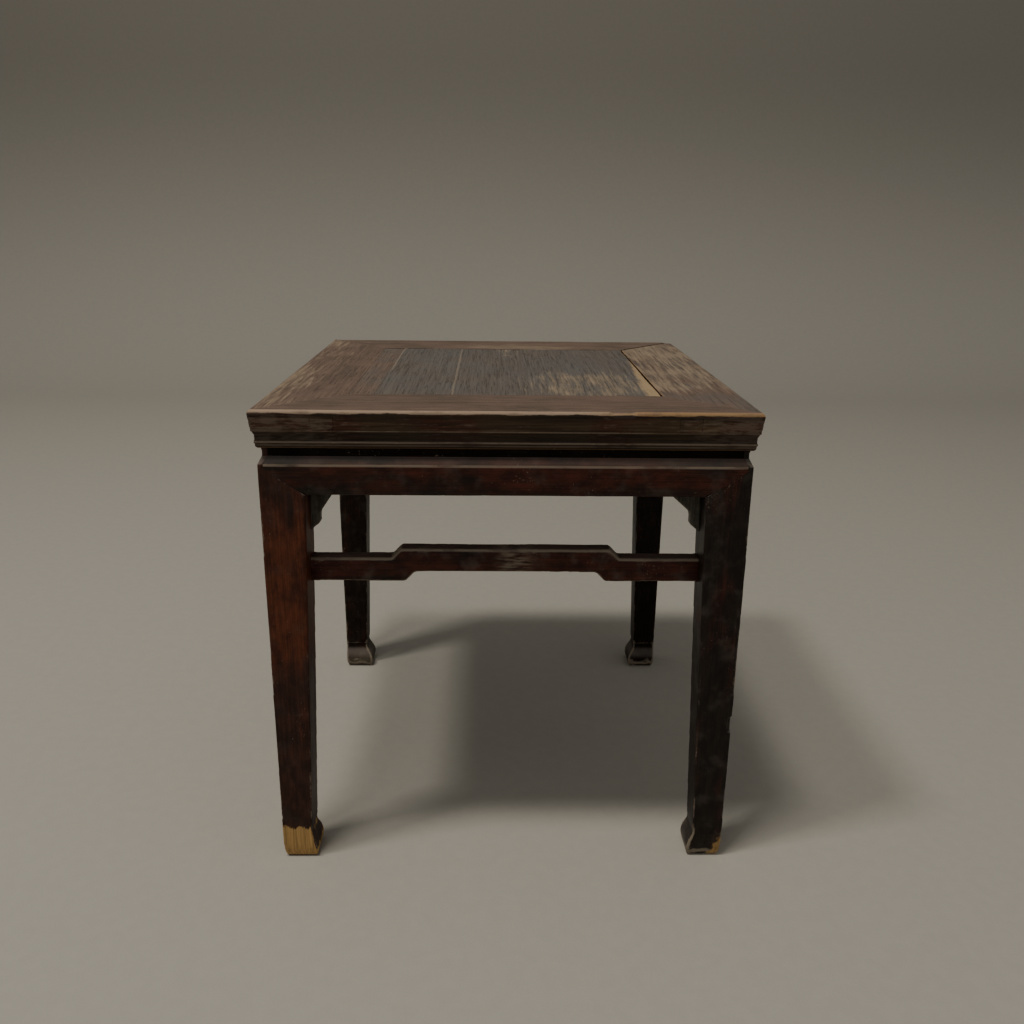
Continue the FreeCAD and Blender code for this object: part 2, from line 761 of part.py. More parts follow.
def bracket(label, turn, end, width):
    """A corner bracket that laps behind the apron, stands against the leg and is pegged to the apron."""
    body = new_body(label, turn)
    tip = leg_inner - width
    waist = leg_inner - size.bracket_waist
    turn_top = apron_under - size.bracket_turn
    turn_foot = turn_top - size.bracket_turn_height
    foot = apron_under - size.bracket_height
    corners = [
        (leg_inner, apron_under + size.bracket_lap),
        (tip, apron_under + size.bracket_lap),
        (tip, apron_under - size.bracket_nose),
        (waist - size.bracket_turn_width, turn_top),
        (waist, turn_foot),
        (waist, turn_foot - size.bracket_heel),
        (inner_face_at(foot), foot),
        (leg_inner, apron_under),
    ]
    corners = [(x * end, z) for x, z in corners]
    hollow = {3: (size.bracket_turn_round, end)}
    pad(body, outline(body, "XZ_Plane", bracket_back, corners, hollow), size.bracket_thick)
    for place in peg_places(end):
        pocket(body, peg_hole(body, 0, place))
    return body


def turned(x, y, turn):
    """A place in plan after a turn of whole quarters about the table's middle."""
    return {0: (x, y), 90: (-y, x), 180: (-x, -y), 270: (y, -x)}[turn]


def bracket_pegs(label):
    """All the brackets' pegs, flush with the brackets' backs, as one group of square bars."""
    pegs = []
    half = size.peg_side / 2
    middle = bracket_back + (size.bracket_thick + size.peg_depth) / 2
    for turn in SIDES.values():
        for end in (-1, 1):
            for place in peg_places(end):
                peg = doc.addObject("Part::Box", "peg")
                along_x, along_y = size.peg_side, size.bracket_thick + size.peg_depth
                if turn in (90, 270):
                    along_x, along_y = along_y, along_x
                x, y = turned(place, -middle, turn)
                peg.setExpression("Length", along_x.text)
                peg.setExpression("Width", along_y.text)
                peg.setExpression("Height", size.peg_side.text)
                peg.setExpression("Placement.Base.x", (x - along_x / 2).text)
                peg.setExpression("Placement.Base.y", (y - along_y / 2).text)
                peg.setExpression("Placement.Base.z", (apron_under + size.peg_rise - half).text)
                pegs.append(peg)
    group = doc.addObject("Part::Compound", label)
    group.Label = label
    group.Links = pegs
    sub_parts.append(group)


# Each side's name, and its turn from the front
SIDES = {"front": 0, "right": 90, "back": 180, "left": 270}
# The side that each side's left and right ends lie next to, seen from outside the table
ENDS = {
    "front": ("left", "right"),
    "right": ("front", "back"),
    "back": ("right", "left"),
    "left": ("back", "front"),
}

# The brackets that differ in width from the others
BRACKET_WIDTHS = {
    ("front", "left"): size.bracket_width_front_left,
    ("front", "right"): size.bracket_width_front_right,
}

for name, quarter in SIDES.items():
    if name in ("front", "back"):
        mortised_member(f"frame_{name}", quarter)
        stretcher(f"stretcher_{name}", quarter)
    else:
        tenoned_member(f"frame_{name}", quarter)
    waist_strip(f"waist_{name}", quarter)
    apron(f"apron_{name}", quarter)
    for hand, neighbour in zip((-1, 1), ENDS[name]):
        width = BRACKET_WIDTHS.get((name, neighbour), size.bracket_width)
        bracket(f"bracket_{name}_{neighbour}", quarter, hand, width)

for depth_name, depth_side in (("front", -1), ("back", 1)):
    for width_name, width_side in (("left", -1), ("right", 1)):
        leg(f"leg_{depth_name}_{width_name}", width_side, depth_side)
    batten(f"batten_{depth_name}", size.batten_place * depth_side)

first_seam = size.narrow_width - opening
second_seam = first_seam + size.middle_width
panel_board("board_narrow", -opening, first_seam, tongue_left=True, tongue_right=False, groove_left=False)
panel_board("board_middle", first_seam, second_seam, tongue_left=False, tongue_right=False, groove_left=True)
panel_board(
    "board_wide",
    second_seam,
    opening - size.shrink_gap,
    tongue_left=False,
    tongue_right=True,
    groove_left=True,
)
bracket_pegs("bracket_pegs")

doc.recompute()
for thing in doc.Objects:
    if "Invalid" in thing.State or "Error" in thing.State:
        raise RuntimeError(f"{thing.Label} failed: {thing.State}")
os.makedirs("parts", exist_ok=True)
for piece in sub_parts:
    if piece.Shape.isNull() or not piece.Shape.isValid():
        raise RuntimeError(f"{piece.Label} has no valid shape")
for piece in sub_parts:
    piece.Shape.exportStep(f"parts/{piece.Label}.step")
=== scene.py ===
import math
from collections import namedtuple
from functools import cached_property

import bmesh
import bpy
import numpy as np
from bpy.props import FloatProperty, FloatVectorProperty, IntProperty, PointerProperty
from mathutils import Matrix, Vector
from mathutils.bvhtree import BVHTree
from mathutils.kdtree import KDTree


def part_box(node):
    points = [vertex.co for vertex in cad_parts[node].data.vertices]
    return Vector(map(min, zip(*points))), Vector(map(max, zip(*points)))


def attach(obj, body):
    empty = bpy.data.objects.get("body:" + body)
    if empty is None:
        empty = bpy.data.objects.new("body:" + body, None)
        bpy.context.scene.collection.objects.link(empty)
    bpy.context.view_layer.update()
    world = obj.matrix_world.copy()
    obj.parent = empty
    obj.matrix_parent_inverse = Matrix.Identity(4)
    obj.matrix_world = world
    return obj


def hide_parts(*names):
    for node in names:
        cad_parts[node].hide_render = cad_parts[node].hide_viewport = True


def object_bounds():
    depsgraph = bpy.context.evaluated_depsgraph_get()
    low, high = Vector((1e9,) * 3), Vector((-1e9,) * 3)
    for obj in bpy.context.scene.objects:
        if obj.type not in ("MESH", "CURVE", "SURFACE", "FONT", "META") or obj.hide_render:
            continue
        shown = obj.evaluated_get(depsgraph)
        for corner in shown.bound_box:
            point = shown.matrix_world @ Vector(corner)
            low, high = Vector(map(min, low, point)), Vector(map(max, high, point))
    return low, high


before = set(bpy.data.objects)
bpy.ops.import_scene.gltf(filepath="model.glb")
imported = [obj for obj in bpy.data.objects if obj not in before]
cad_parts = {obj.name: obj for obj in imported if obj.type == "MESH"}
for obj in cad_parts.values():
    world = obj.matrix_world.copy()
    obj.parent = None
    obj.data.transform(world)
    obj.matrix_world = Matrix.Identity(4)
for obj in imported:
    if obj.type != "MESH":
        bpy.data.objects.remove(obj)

bl_info = {
    "name": "Worn Lacquer Side Table",
    "version": (1, 0, 0),
    "blender": (4, 5, 0),
    "location": "View3D > Sidebar > Side Table",
    "description": "Dresses a square side table in old, rubbed lacquer and sets it in a studio",
    "category": "Object",
}

CAD_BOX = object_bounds()
BODY = "root"

# The axis that the grain runs along, first, then the two across it
ALONG_X = (0, 1, 2)
ALONG_Y = (1, 0, 2)
ALONG_Z = (2, 0, 1)

# Keeps the chance wear of two pieces apart
SEED_STEP = 7.31
# An arris weaker than this is a flat
LEAST_ARRIS = 0.02

TOP_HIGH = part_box("frame_front")[1]
TABLE_HALF = TOP_HIGH.x
TABLE_TOP = TOP_HIGH.z
PANEL_LOW, PANEL_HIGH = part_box("board_wide")
PANEL_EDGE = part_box("frame_right")[0].x

# Levels of the mouldings, and how far out the top's edge is worn
COVE_TOP = 0.4965
BEAD_LEVEL = 0.4856
LIP_LEVEL = 0.4825
RIDGE_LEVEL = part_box("apron_front")[1].z - 0.0085
WORN_END = 0.15

# Where the legs and the stretchers are worn
FOOT_INNER = -0.215
BARE_FOOT_LINE = 0.055
BARE_CORNER = 0.239
SOLE_LINE = 0.0125
LEG_INNER = 0.2006
LEG_FACE = -0.243
INNER_RUB_LOW = 0.295
INNER_RUB_HIGH = 0.415
KNEE_LOW = 0.2
KNEE_HIGH = 0.45
SCUFF_MIDDLE = 0.009

# A joint that age has opened, in a box from low to high, and the share of its wear that it has taken
Joint = namedtuple("Joint", "low high opening")
JOINT_BOX = 0.006
TENON_LOW = Vector((0.168, -TABLE_HALF, 0.498))
TENON_HIGH = Vector((0.19, TABLE_HALF, 0.512))


def joint_along(axis, place, opening):
    """The joint that runs across the panel at a place on an axis."""
    low = Vector((-PANEL_EDGE, -PANEL_EDGE, TABLE_TOP)) - Vector.Fill(3, JOINT_BOX)
    high = Vector((PANEL_EDGE, PANEL_EDGE, TABLE_TOP)) + Vector.Fill(3, JOINT_BOX)
    low[axis], high[axis] = place - JOINT_BOX, place + JOINT_BOX
    return Joint(low, high, opening)


def tenon_end(side, face):
    """The end of a through tenon, which shows in the front or back edge of the top."""
    xs = sorted((side * TENON_LOW.x, side * TENON_HIGH.x))
    low = Vector((xs[0], face - JOINT_BOX, TENON_LOW.z)) - Vector((JOINT_BOX / 2, 0, JOINT_BOX / 2))
    high = Vector((xs[1], face + JOINT_BOX, TENON_HIGH.z)) + Vector((JOINT_BOX / 2, 0, JOINT_BOX / 2))
    return Joint(low, high, 0.3)


OPENED_JOINTS = (
    joint_along(0, PANEL_EDGE, 1),
    joint_along(1, -PANEL_EDGE, 0.5),
    joint_along(1, PANEL_EDGE, 0.5),
    Joint(Vector((-0.226, -0.25, 0.43)), Vector((-0.2, -0.23, 0.453)), 0.6),
    *(tenon_end(side, face) for side in (-1, 1) for face in (-TABLE_HALF, TABLE_HALF)),
)

# A place where the table was knocked in, or a joint that has opened, from start to end
Knock = namedtuple("Knock", "start end reach into")
BACK_RIGHT_CORNER = Vector((TABLE_HALF, TABLE_HALF, TABLE_TOP))
BACK_RIGHT_MITRE = Vector((PANEL_EDGE, PANEL_EDGE, TABLE_TOP))
CHIPPED_ARRIS = Vector((0.112, -TABLE_HALF, TABLE_TOP))
CHIP_RUN = Vector((0.008, 0, 0))
CHIPPED_LEG = Vector((0.2475, -0.2475, 0.172))
CHIPPED_LEG_RUN = Vector((0, 0, 0.006))
TOP_KNOCKS = (
    Knock(CHIPPED_ARRIS - CHIP_RUN, CHIPPED_ARRIS + CHIP_RUN, 0.006, Vector((0, 0.0012, -0.0012))),
    Knock(BACK_RIGHT_CORNER, BACK_RIGHT_CORNER, 0.014, Vector((-0.0025, -0.0025, -0.0015))),
    Knock(BACK_RIGHT_MITRE, BACK_RIGHT_CORNER, 0.0018, Vector((0, 0, -0.003))),
)
LEG_KNOCKS = (
    Knock(CHIPPED_LEG - CHIPPED_LEG_RUN, CHIPPED_LEG + CHIPPED_LEG_RUN, 0.005, Vector((-0.0016, 0.0016, 0))),
)


def colour_property(name, description, default):
    return FloatVectorProperty(
        name=name, description=description, default=default, subtype="COLOR", size=3, min=0, max=1)


def length_property(name, description, default):
    return FloatProperty(
        name=name, description=description, default=default, min=0, unit="LENGTH", precision=5)


def share_property(name, description, default):
    return FloatProperty(name=name, description=description, default=default, min=0, max=1, subtype="FACTOR")


class TableWear(bpy.types.PropertyGroup):
    """How the solids are worn."""

    fineness: length_property("Fineness", "Size of the faces that a solid is remade with", 0.0012)
    soften: IntProperty(
        name="Softening", description="Rounds of smoothing over the arrises", default=2, min=0)
    feel: IntProperty(
        name="Feel", description="Rounds of smoothing that tell an arris from a flat", default=16, min=1)
    arris_rise: length_property("Arris Rise", "How far a full arris stands over the smoothed shape", 0.0006)
    chip_size: length_property("Chip Size", "Length of the chips along the arrises", 0.011)
    chip_depth: length_property("Chip Depth", "Depth of the deepest chips", 0.0014)
    round_size: length_property("Rounding Size", "Length of the stretches where an arris is worn round", 0.05)
    round_depth: length_property("Rounding Depth", "How far an arris is worn down there", 0.0011)
    wave_size: length_property("Wave Size", "Length of the waves that planing and age left", 0.07)
    wave_depth: length_property("Wave Depth", "Height of those waves", 0.0003)
    joint_reach: length_property("Joint Reach", "How near another piece an arris is kept from wear", 0.003)
    joint_pitch: length_property(
        "Joint Pitch", "Distance between the points that a kept arris is drawn to", 0.0004)
    joint_close: length_property("Joint Closing", "How wide a joint is that its two pieces close", 0.0006)
    joint_turn: FloatProperty(
        name="Joint Turn", description="Turn between two faces that makes an arris of a joint",
        default=math.radians(25), subtype="ANGLE")
    crisp: FloatProperty(
        name="Crisp Angle", description="Turn between two faces that stays sharp", default=math.radians(50),
        subtype="ANGLE")
    weld: length_property("Weld", "How near each other two vertices are merged", 0.00002)
    kept: share_property("Faces Kept", "Share of the remade faces that is kept", 0.16)


class TableFinish(bpy.types.PropertyGroup):
    """The colours of the lacquer and of what shows under it."""

    lacquer_black: colour_property("Lacquer Black", "Lacquer that has kept its depth", (0.011, 0.007, 0.005))
    # Painted shade: a near black that stands for the shade in the recessed waist
    lacquer_painted_shade: colour_property("Lacquer Painted Shade", "Near black painted shade in the waist", (0.004, 0.003, 0.002))
    lacquer_red: colour_property("Lacquer Red", "Lacquer rubbed down to its red", (0.042, 0.0098, 0.0055))
    lacquer_maroon: colour_property("Lacquer Maroon", "Lacquer between black and red", (0.03, 0.0105, 0.0065))
    lacquer_amber: colour_property(
        "Lacquer Amber", "Thin lacquer with the wood shining through", (0.07, 0.0185, 0.0075))
    # Partly painted light: the brackets' greenish lacquer, made lighter to stand in for light they miss under
    # the apron
    lacquer_green_lightened: colour_property(
        "Lacquer Green Lightened", "Greenish lacquer, lightened as painted light under the apron", (0.064, 0.06, 0.046))
    lacquer_brown: colour_property(
        "Lacquer Brown", "Lacquer gone brown on the top's edge", (0.062, 0.038, 0.02))
    rubbed: colour_property("Rubbed", "Arrises rubbed through the lacquer", (0.175, 0.135, 0.1))
    rubbed_top: colour_property("Rubbed Top", "Arrises of the top, rubbed to the wood", (0.3, 0.22, 0.155))
    rubbed_gold: colour_property(
        "Rubbed Gold", "The right of that, rubbed to fresher wood", (0.27, 0.165, 0.08))
    rubbed_pale: colour_property("Rubbed Pale", "Feet and ridges rubbed to grey wood", (0.24, 0.2, 0.145))
    seam_dust: colour_property("Seam Dust", "Dust in the joints of the boards", (0.24, 0.19, 0.14))
    dust: colour_property("Dust", "Dust on what faces up", (0.15, 0.125, 0.105))
    bare_wood: colour_property("Bare Wood", "Wood that has lost its lacquer", (0.4, 0.245, 0.092))
    raw_wood: colour_property("Raw Wood", "Wood under the top that was never lacquered", (0.16, 0.085, 0.04))
    top_brown: colour_property("Top Brown", "The top's dull brown", (0.096, 0.067, 0.051))
    top_grey: colour_property("Top Grey", "The top's bluish bloom", (0.092, 0.085, 0.077))
    top_taupe: colour_property(
        "Top Taupe", "The boards between that bloom and the brown", (0.098, 0.081, 0.067))
    bare_board: colour_property("Bare Board", "The board where its lacquer has gone", (0.33, 0.235, 0.135))
    top_tan: colour_property("Top Tan", "Streaks where the top is worn to the wood", (0.265, 0.2, 0.132))
    top_pink: colour_property("Top Pink", "The left of the top, which has faded most", (0.125, 0.084, 0.064))


class TableStage(bpy.types.PropertyGroup):
    """The studio, and where the photograph was taken from."""

    eye: FloatVectorProperty(
        name="Eye", description="Where the camera stands", default=(-0.0135, -1.1026, 0.7012),
        subtype="TRANSLATION")
    yaw: FloatProperty(
        name="Yaw", description="Turn to the right of straight ahead", default=math.radians(1.27),
        subtype="ANGLE")
    pitch: FloatProperty(
        name="Pitch", description="Tilt below the horizon", default=math.radians(18.457), subtype="ANGLE")
    roll: FloatProperty(
        name="Roll", description="Lean of the camera", default=math.radians(0.693), subtype="ANGLE")
    lens: FloatProperty(name="Lens", description="Focal length on a 36 mm sensor", default=31.71, min=1)
    floor: colour_property("Floor", "The pale floor and backdrop", (0.365, 0.345, 0.3))
    key: FloatProperty(
        name="Key Light", description="Power of the two lights over the table", default=117, min=0)
    fill: FloatProperty(name="Fill Light", description="Power of the light in front", default=2.5, min=0)
    sky: FloatProperty(name="Sky", description="Strength of the light from all round", default=0.32, min=0)


def coordinates(mesh):
    places = np.empty(len(mesh.vertices) * 3, np.float32)
    mesh.vertices.foreach_get("co", places)
    return places.reshape(-1, 3).astype(float)


def normals(mesh):
    directions = np.empty(len(mesh.vertices) * 3, np.float32)
    mesh.vertices.foreach_get("normal", directions)
    return directions.reshape(-1, 3).astype(float)


def evaluated_mesh(piece):
    graph = bpy.context.evaluated_depsgraph_get()
    return bpy.data.meshes.new_from_object(
        piece.evaluated_get(graph), preserve_all_data_layers=True, depsgraph=graph)


def settle(piece):
    """Makes what a piece's modifiers give its own mesh."""
    mesh = evaluated_mesh(piece)
    spent = piece.data
    piece.modifiers.clear()
    piece.data = mesh
    bpy.data.meshes.remove(spent)


def add_smoothing(piece, rounds):
    smoothing = piece.modifiers.new("smooth", "SMOOTH")
    smoothing.factor = 0.5
    smoothing.iterations = rounds


def cloud(places, size, seed):
    """Smooth chance values from -1 to 1, in lumps of a size."""
    cells = places / size + seed
    low = np.floor(cells).astype(np.int64)
    share = cells - low
    share = share * share * (3 - 2 * share)
    total = np.zeros(len(places))
    for corner in np.ndindex(2, 2, 2):
        key = (low + corner) @ np.array((374761393, 668265263, 1274126177))
        key = (key ^ (key >> 13)) * 1103515245
        chance = ((key ^ (key >> 16)) & 0xFFFF) / 0x7FFF - 1
        total += chance * np.prod(np.where(corner, share, 1 - share), axis=1)
    return total


def arris_weights(piece, wear):
    """How much each vertex stands on an arris, from 0 to 1."""
    add_smoothing(piece, wear.feel)
    smoothed = evaluated_mesh(piece)
    piece.modifiers.clear()
    rise = ((coordinates(piece.data) - coordinates(smoothed)) * normals(piece.data)).sum(axis=1)
    bpy.data.meshes.remove(smoothed)
    return np.clip(rise / wear.arris_rise, 0, 1)


def float_attribute(mesh, name, values):
    mesh.attributes.new(name, "FLOAT", "POINT").data.foreach_set("value", values.astype(np.float32))


def vector_attribute(mesh, name, values):
    layer = mesh.attributes.new(name, "FLOAT_VECTOR", "POINT")
    layer.data.foreach_set("vector", values.astype(np.float32).ravel())


def line_distance(places, start, end):
    """How far each place is from the straight line between two points."""
    start, run = np.array(start), np.array(end) - np.array(start)
    share = np.clip((places - start) @ run / max(run @ run, 1e-12), 0, 1)
    return np.linalg.norm(places - start - share[:, None] * run, axis=1)


def worn_depth(places, arris, along, seed):
    """How far each vertex of a piece has been worn down."""
    wear = bpy.context.scene.table_wear
    chips = cloud(places, wear.chip_size, seed) * 0.7 + cloud(places, wear.chip_size / 3, seed) * 0.5
    depth = np.clip(chips - 0.15, 0, 1) * arris * wear.chip_depth
    depth += np.clip(cloud(places, wear.round_size, seed) + 0.3, 0, 1) * arris * wear.round_depth
    return depth + cloud(places[:, along] * (0.3, 1, 1), wear.wave_size, seed) * wear.wave_depth


def knocked_in(places, knocks):
    """How far, and which way, each vertex of a piece has been knocked in."""
    moves = np.zeros(places.shape)
    for knock in knocks:
        away = line_distance(places, knock.start, knock.end) / knock.reach
        moves += np.clip(1 - away * away, 0, 1)[:, None] * np.array(knock.into)
    return moves


def solids_beside(node):
    """Every solid but a node's own, as one tree to measure from."""
    corners, faces = [], []
    for other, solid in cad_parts.items():
        if other != node:
            faces += [[len(corners) + corner for corner in face.vertices] for face in solid.data.polygons]
            corners += [corner.co for corner in solid.data.vertices]
    return BVHTree.FromPolygons(corners, faces)


def sharp_arrises(node, wear):
    """Points along the sharp arrises of a solid, as a tree to measure from."""
    solid = bmesh.new()
    solid.from_mesh(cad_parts[node].data)
    bmesh.ops.remove_doubles(solid, verts=solid.verts, dist=1e-6)
    points = []
    for edge in solid.edges:
        if edge.is_manifold and edge.calc_face_angle() > wear.joint_turn:
            start, end = (corner.co for corner in edge.verts)
            pieces = max(1, math.ceil(edge.calc_length() / wear.joint_pitch))
            points += [start.lerp(end, share / pieces) for share in range(pieces + 1)]
    solid.free()
    tree = KDTree(len(points))
    for index, point in enumerate(points):
        tree.insert(point, index)
    tree.balance()
    return tree


def held_arrises(node, mesh, arris, voxel, wear):
    """How tightly joints hold a piece's arrises, from 0 to 1, and where its vertices lie with them sharp."""
    beside, sharp = solids_beside(node), sharp_arrises(node, wear)
    places = coordinates(mesh)
    held, crisp = np.zeros(len(places)), places.copy()
    for index in np.flatnonzero(arris > LEAST_ARRIS):
        place = Vector(places[index])
        away = beside.find_nearest(place, wear.joint_reach)[3]
        if away is None:
            continue
        held[index] = min(1, 2 - 2 * away / wear.joint_reach)
        corner, _, off = sharp.find(place)
        if off < voxel:
            across = beside.find_nearest(corner, wear.joint_close)[0]
            crisp[index] = corner.lerp(across, 0.5) if across else corner
    for joint in OPENED_JOINTS:
        inside = np.all((places > joint.low) & (places < joint.high), axis=1)
        held[inside] *= 1 - joint.opening
    return held, crisp


def clear_flaps(mesh, reach):
    """Takes out the faces that have no area, and those that are folded flat onto others."""
    solid = bmesh.new()
    solid.from_mesh(mesh)
    bmesh.ops.dissolve_degenerate(solid, edges=solid.edges, dist=reach)
    flaps = True
    while flaps:
        crowded = [edge for edge in solid.edges if len(edge.link_faces) > 2]
        beside = {face for edge in crowded for face in edge.link_faces}
        flaps = [face for face in beside if any(edge.is_boundary for edge in face.edges)]
        bmesh.ops.delete(solid, geom=flaps, context="FACES")
    solid.to_mesh(mesh)
    solid.free()


def worn_piece(node, along, material, knocks=(), fineness=1.0, hardship=1.0):
    """A worn copy of a solid, which stands for it."""
    wear = bpy.context.scene.table_wear
    voxel = wear.fineness * fineness
    seed = sorted(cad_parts).index(node) * SEED_STEP
    piece = bpy.data.objects.new(node + "_worn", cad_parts[node].data.copy())
    bpy.context.scene.collection.objects.link(piece)
    piece.data.materials.clear()
    even = piece.modifiers.new("even", "REMESH")
    even.mode = "VOXEL"
    even.voxel_size = voxel
    true = piece.modifiers.new("true", "SHRINKWRAP")
    true.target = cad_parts[node]
    settle(piece)
    arris = arris_weights(piece, wear)
    held, crisp = held_arrises(node, piece.data, arris, voxel, wear)
    arris *= 1 - held
    add_smoothing(piece, wear.soften)
    settle(piece)
    places, directions = coordinates(piece.data), normals(piece.data)
    places -= directions * worn_depth(places, arris, along, seed)[:, None] * hardship
    places += (crisp - places) * held[:, None]
    places += knocked_in(places, knocks)
    places = np.clip(places, CAD_BOX[0], CAD_BOX[1])
    piece.data.vertices.foreach_set("co", places.astype(np.float32).ravel())
    float_attribute(piece.data, "arris", arris)
    together = piece.modifiers.new("together", "WELD")
    together.merge_threshold = wear.weld
    fewer = piece.modifiers.new("fewer", "DECIMATE")
    fewer.ratio = wear.kept
    settle(piece)
    clear_flaps(piece.data, wear.weld)
    vector_attribute(piece.data, "grain", coordinates(piece.data)[:, along] + seed)
    piece.data.shade_smooth()
    piece.data.set_sharp_from_angle(angle=wear.crisp)
    piece.data.materials.append(material)
    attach(piece, BODY)
    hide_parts(node)
    return piece


class Finish:
    """A material's nodes, added one at a time. A socket stands for a value that varies."""

    def __init__(self, name):
        self.material = bpy.data.materials.new(name)
        self.material.use_nodes = True
        self.nodes = self.material.node_tree.nodes
        self.links = self.material.node_tree.links
        self.surface = self.nodes["Principled BSDF"]

    @cached_property
    def place(self):
        return self.nodes.new("ShaderNodeTexCoord").outputs["Object"]

    @cached_property
    def grain(self):
        return self.attribute("grain", "Vector")

    @cached_property
    def arris(self):
        return self.attribute("arris", "Fac")

    @cached_property
    def facing_up(self):
        return self.axis(self.nodes.new("ShaderNodeNewGeometry").outputs["Normal"], "Z")

    def attribute(self, name, output):
        node = self.nodes.new("ShaderNodeAttribute")
        node.attribute_name = name
        return node.outputs[output]

    def give(self, socket, value):
        if isinstance(value, bpy.types.NodeSocket):
            self.links.new(value, socket)
        elif socket.type == "RGBA":
            socket.default_value = (*value, 1)
        else:
            socket.default_value = value

    def math(self, operation, first, second=0.0):
        node = self.nodes.new("ShaderNodeMath")
        node.operation = operation
        self.give(node.inputs[0], first)
        self.give(node.inputs[1], second)
        return node.outputs[0]

    def add(self, first, second):
        return self.math("ADD", first, second)

    def times(self, first, second):
        return self.math("MULTIPLY", first, second)

    def most(self, first, second):
        return self.math("MAXIMUM", first, second)

    def distance(self, value, place):
        return self.math("ABSOLUTE", self.math("SUBTRACT", value, place))

    def step(self, value, start, end, low=0.0, high=1.0):
        """Low before start, high after end, and smooth between them."""
        node = self.nodes.new("ShaderNodeMapRange")
        node.interpolation_type = "SMOOTHSTEP"
        names = ("Value", "From Min", "From Max", "To Min", "To Max")
        for name, given in zip(names, (value, start, end, low, high)):
            self.give(node.inputs[name], given)
        return node.outputs["Result"]

    def scaled(self, vector, factors):
        node = self.nodes.new("ShaderNodeVectorMath")
        node.operation = "MULTIPLY"
        self.give(node.inputs[0], vector)
        self.give(node.inputs[1], factors)
        return node.outputs["Vector"]

    def moved(self, vector, by):
        node = self.nodes.new("ShaderNodeVectorMath")
        self.give(node.inputs[0], vector)
        self.give(node.inputs[1], by)
        return node.outputs["Vector"]

    def axis(self, vector, name):
        node = self.nodes.new("ShaderNodeSeparateXYZ")
        self.give(node.inputs[0], vector)
        return node.outputs[name]

    def noise(self, vector, scale, detail=3.0, roughness=0.55):
        node = self.nodes.new("ShaderNodeTexNoise")
        names = ("Vector", "Scale", "Detail", "Roughness")
        for name, given in zip(names, (vector, scale, detail, roughness)):
            self.give(node.inputs[name], given)
        return node.outputs[0]

    def mix(self, share, first, second):
        node = self.nodes.new("ShaderNodeMix")
        node.data_type = "RGBA"
        self.give(node.inputs["Factor"], share)
        self.give(node.inputs[6], first)
        self.give(node.inputs[7], second)
        return node.outputs[2]

    def shade(self, colour, factor):
        """A colour, lighter or darker by a factor."""
        node = self.nodes.new("ShaderNodeVectorMath")
        node.operation = "SCALE"
        self.give(node.inputs[0], colour)
        self.give(node.inputs["Scale"], factor)
        return node.outputs["Vector"]

    def patch(self, x, y, reach_x, reach_y):
        """1 at the middle of a soft patch of the top, and 0 outside it."""
        node = self.nodes.new("ShaderNodeVectorMath")
        node.operation = "LENGTH"
        from_middle = self.moved(self.place, (-x, -y, 0))
        self.give(node.inputs[0], self.scaled(from_middle, (1 / reach_x, 1 / reach_y, 0)))
        return self.step(node.outputs["Value"], 0.35, 1.15, 1, 0)

    def finish(self, colour, roughness, height, depth, gloss=0.2):
        bump = self.nodes.new("ShaderNodeBump")
        bump.inputs["Distance"].default_value = depth
        self.give(bump.inputs["Height"], height)
        self.give(self.surface.inputs["Base Color"], colour)
        self.give(self.surface.inputs["Roughness"], roughness)
        self.give(self.surface.inputs["Normal"], bump.outputs["Normal"])
        self.surface.inputs["Specular IOR Level"].default_value = gloss
        return self.material


def edge_wear(look, rub):
    """Where the lacquer is rubbed through on the arrises, in broken lines."""
    coarse, fine = look.noise(look.place, 48, 4), look.noise(look.place, 310, 3)
    broken = look.add(look.times(coarse, 1.1), look.times(fine, 0.6))
    return look.step(look.add(look.times(look.arris, 0.25 + 0.75 * rub), broken), 1.17, 1.53, 0, 0.9)


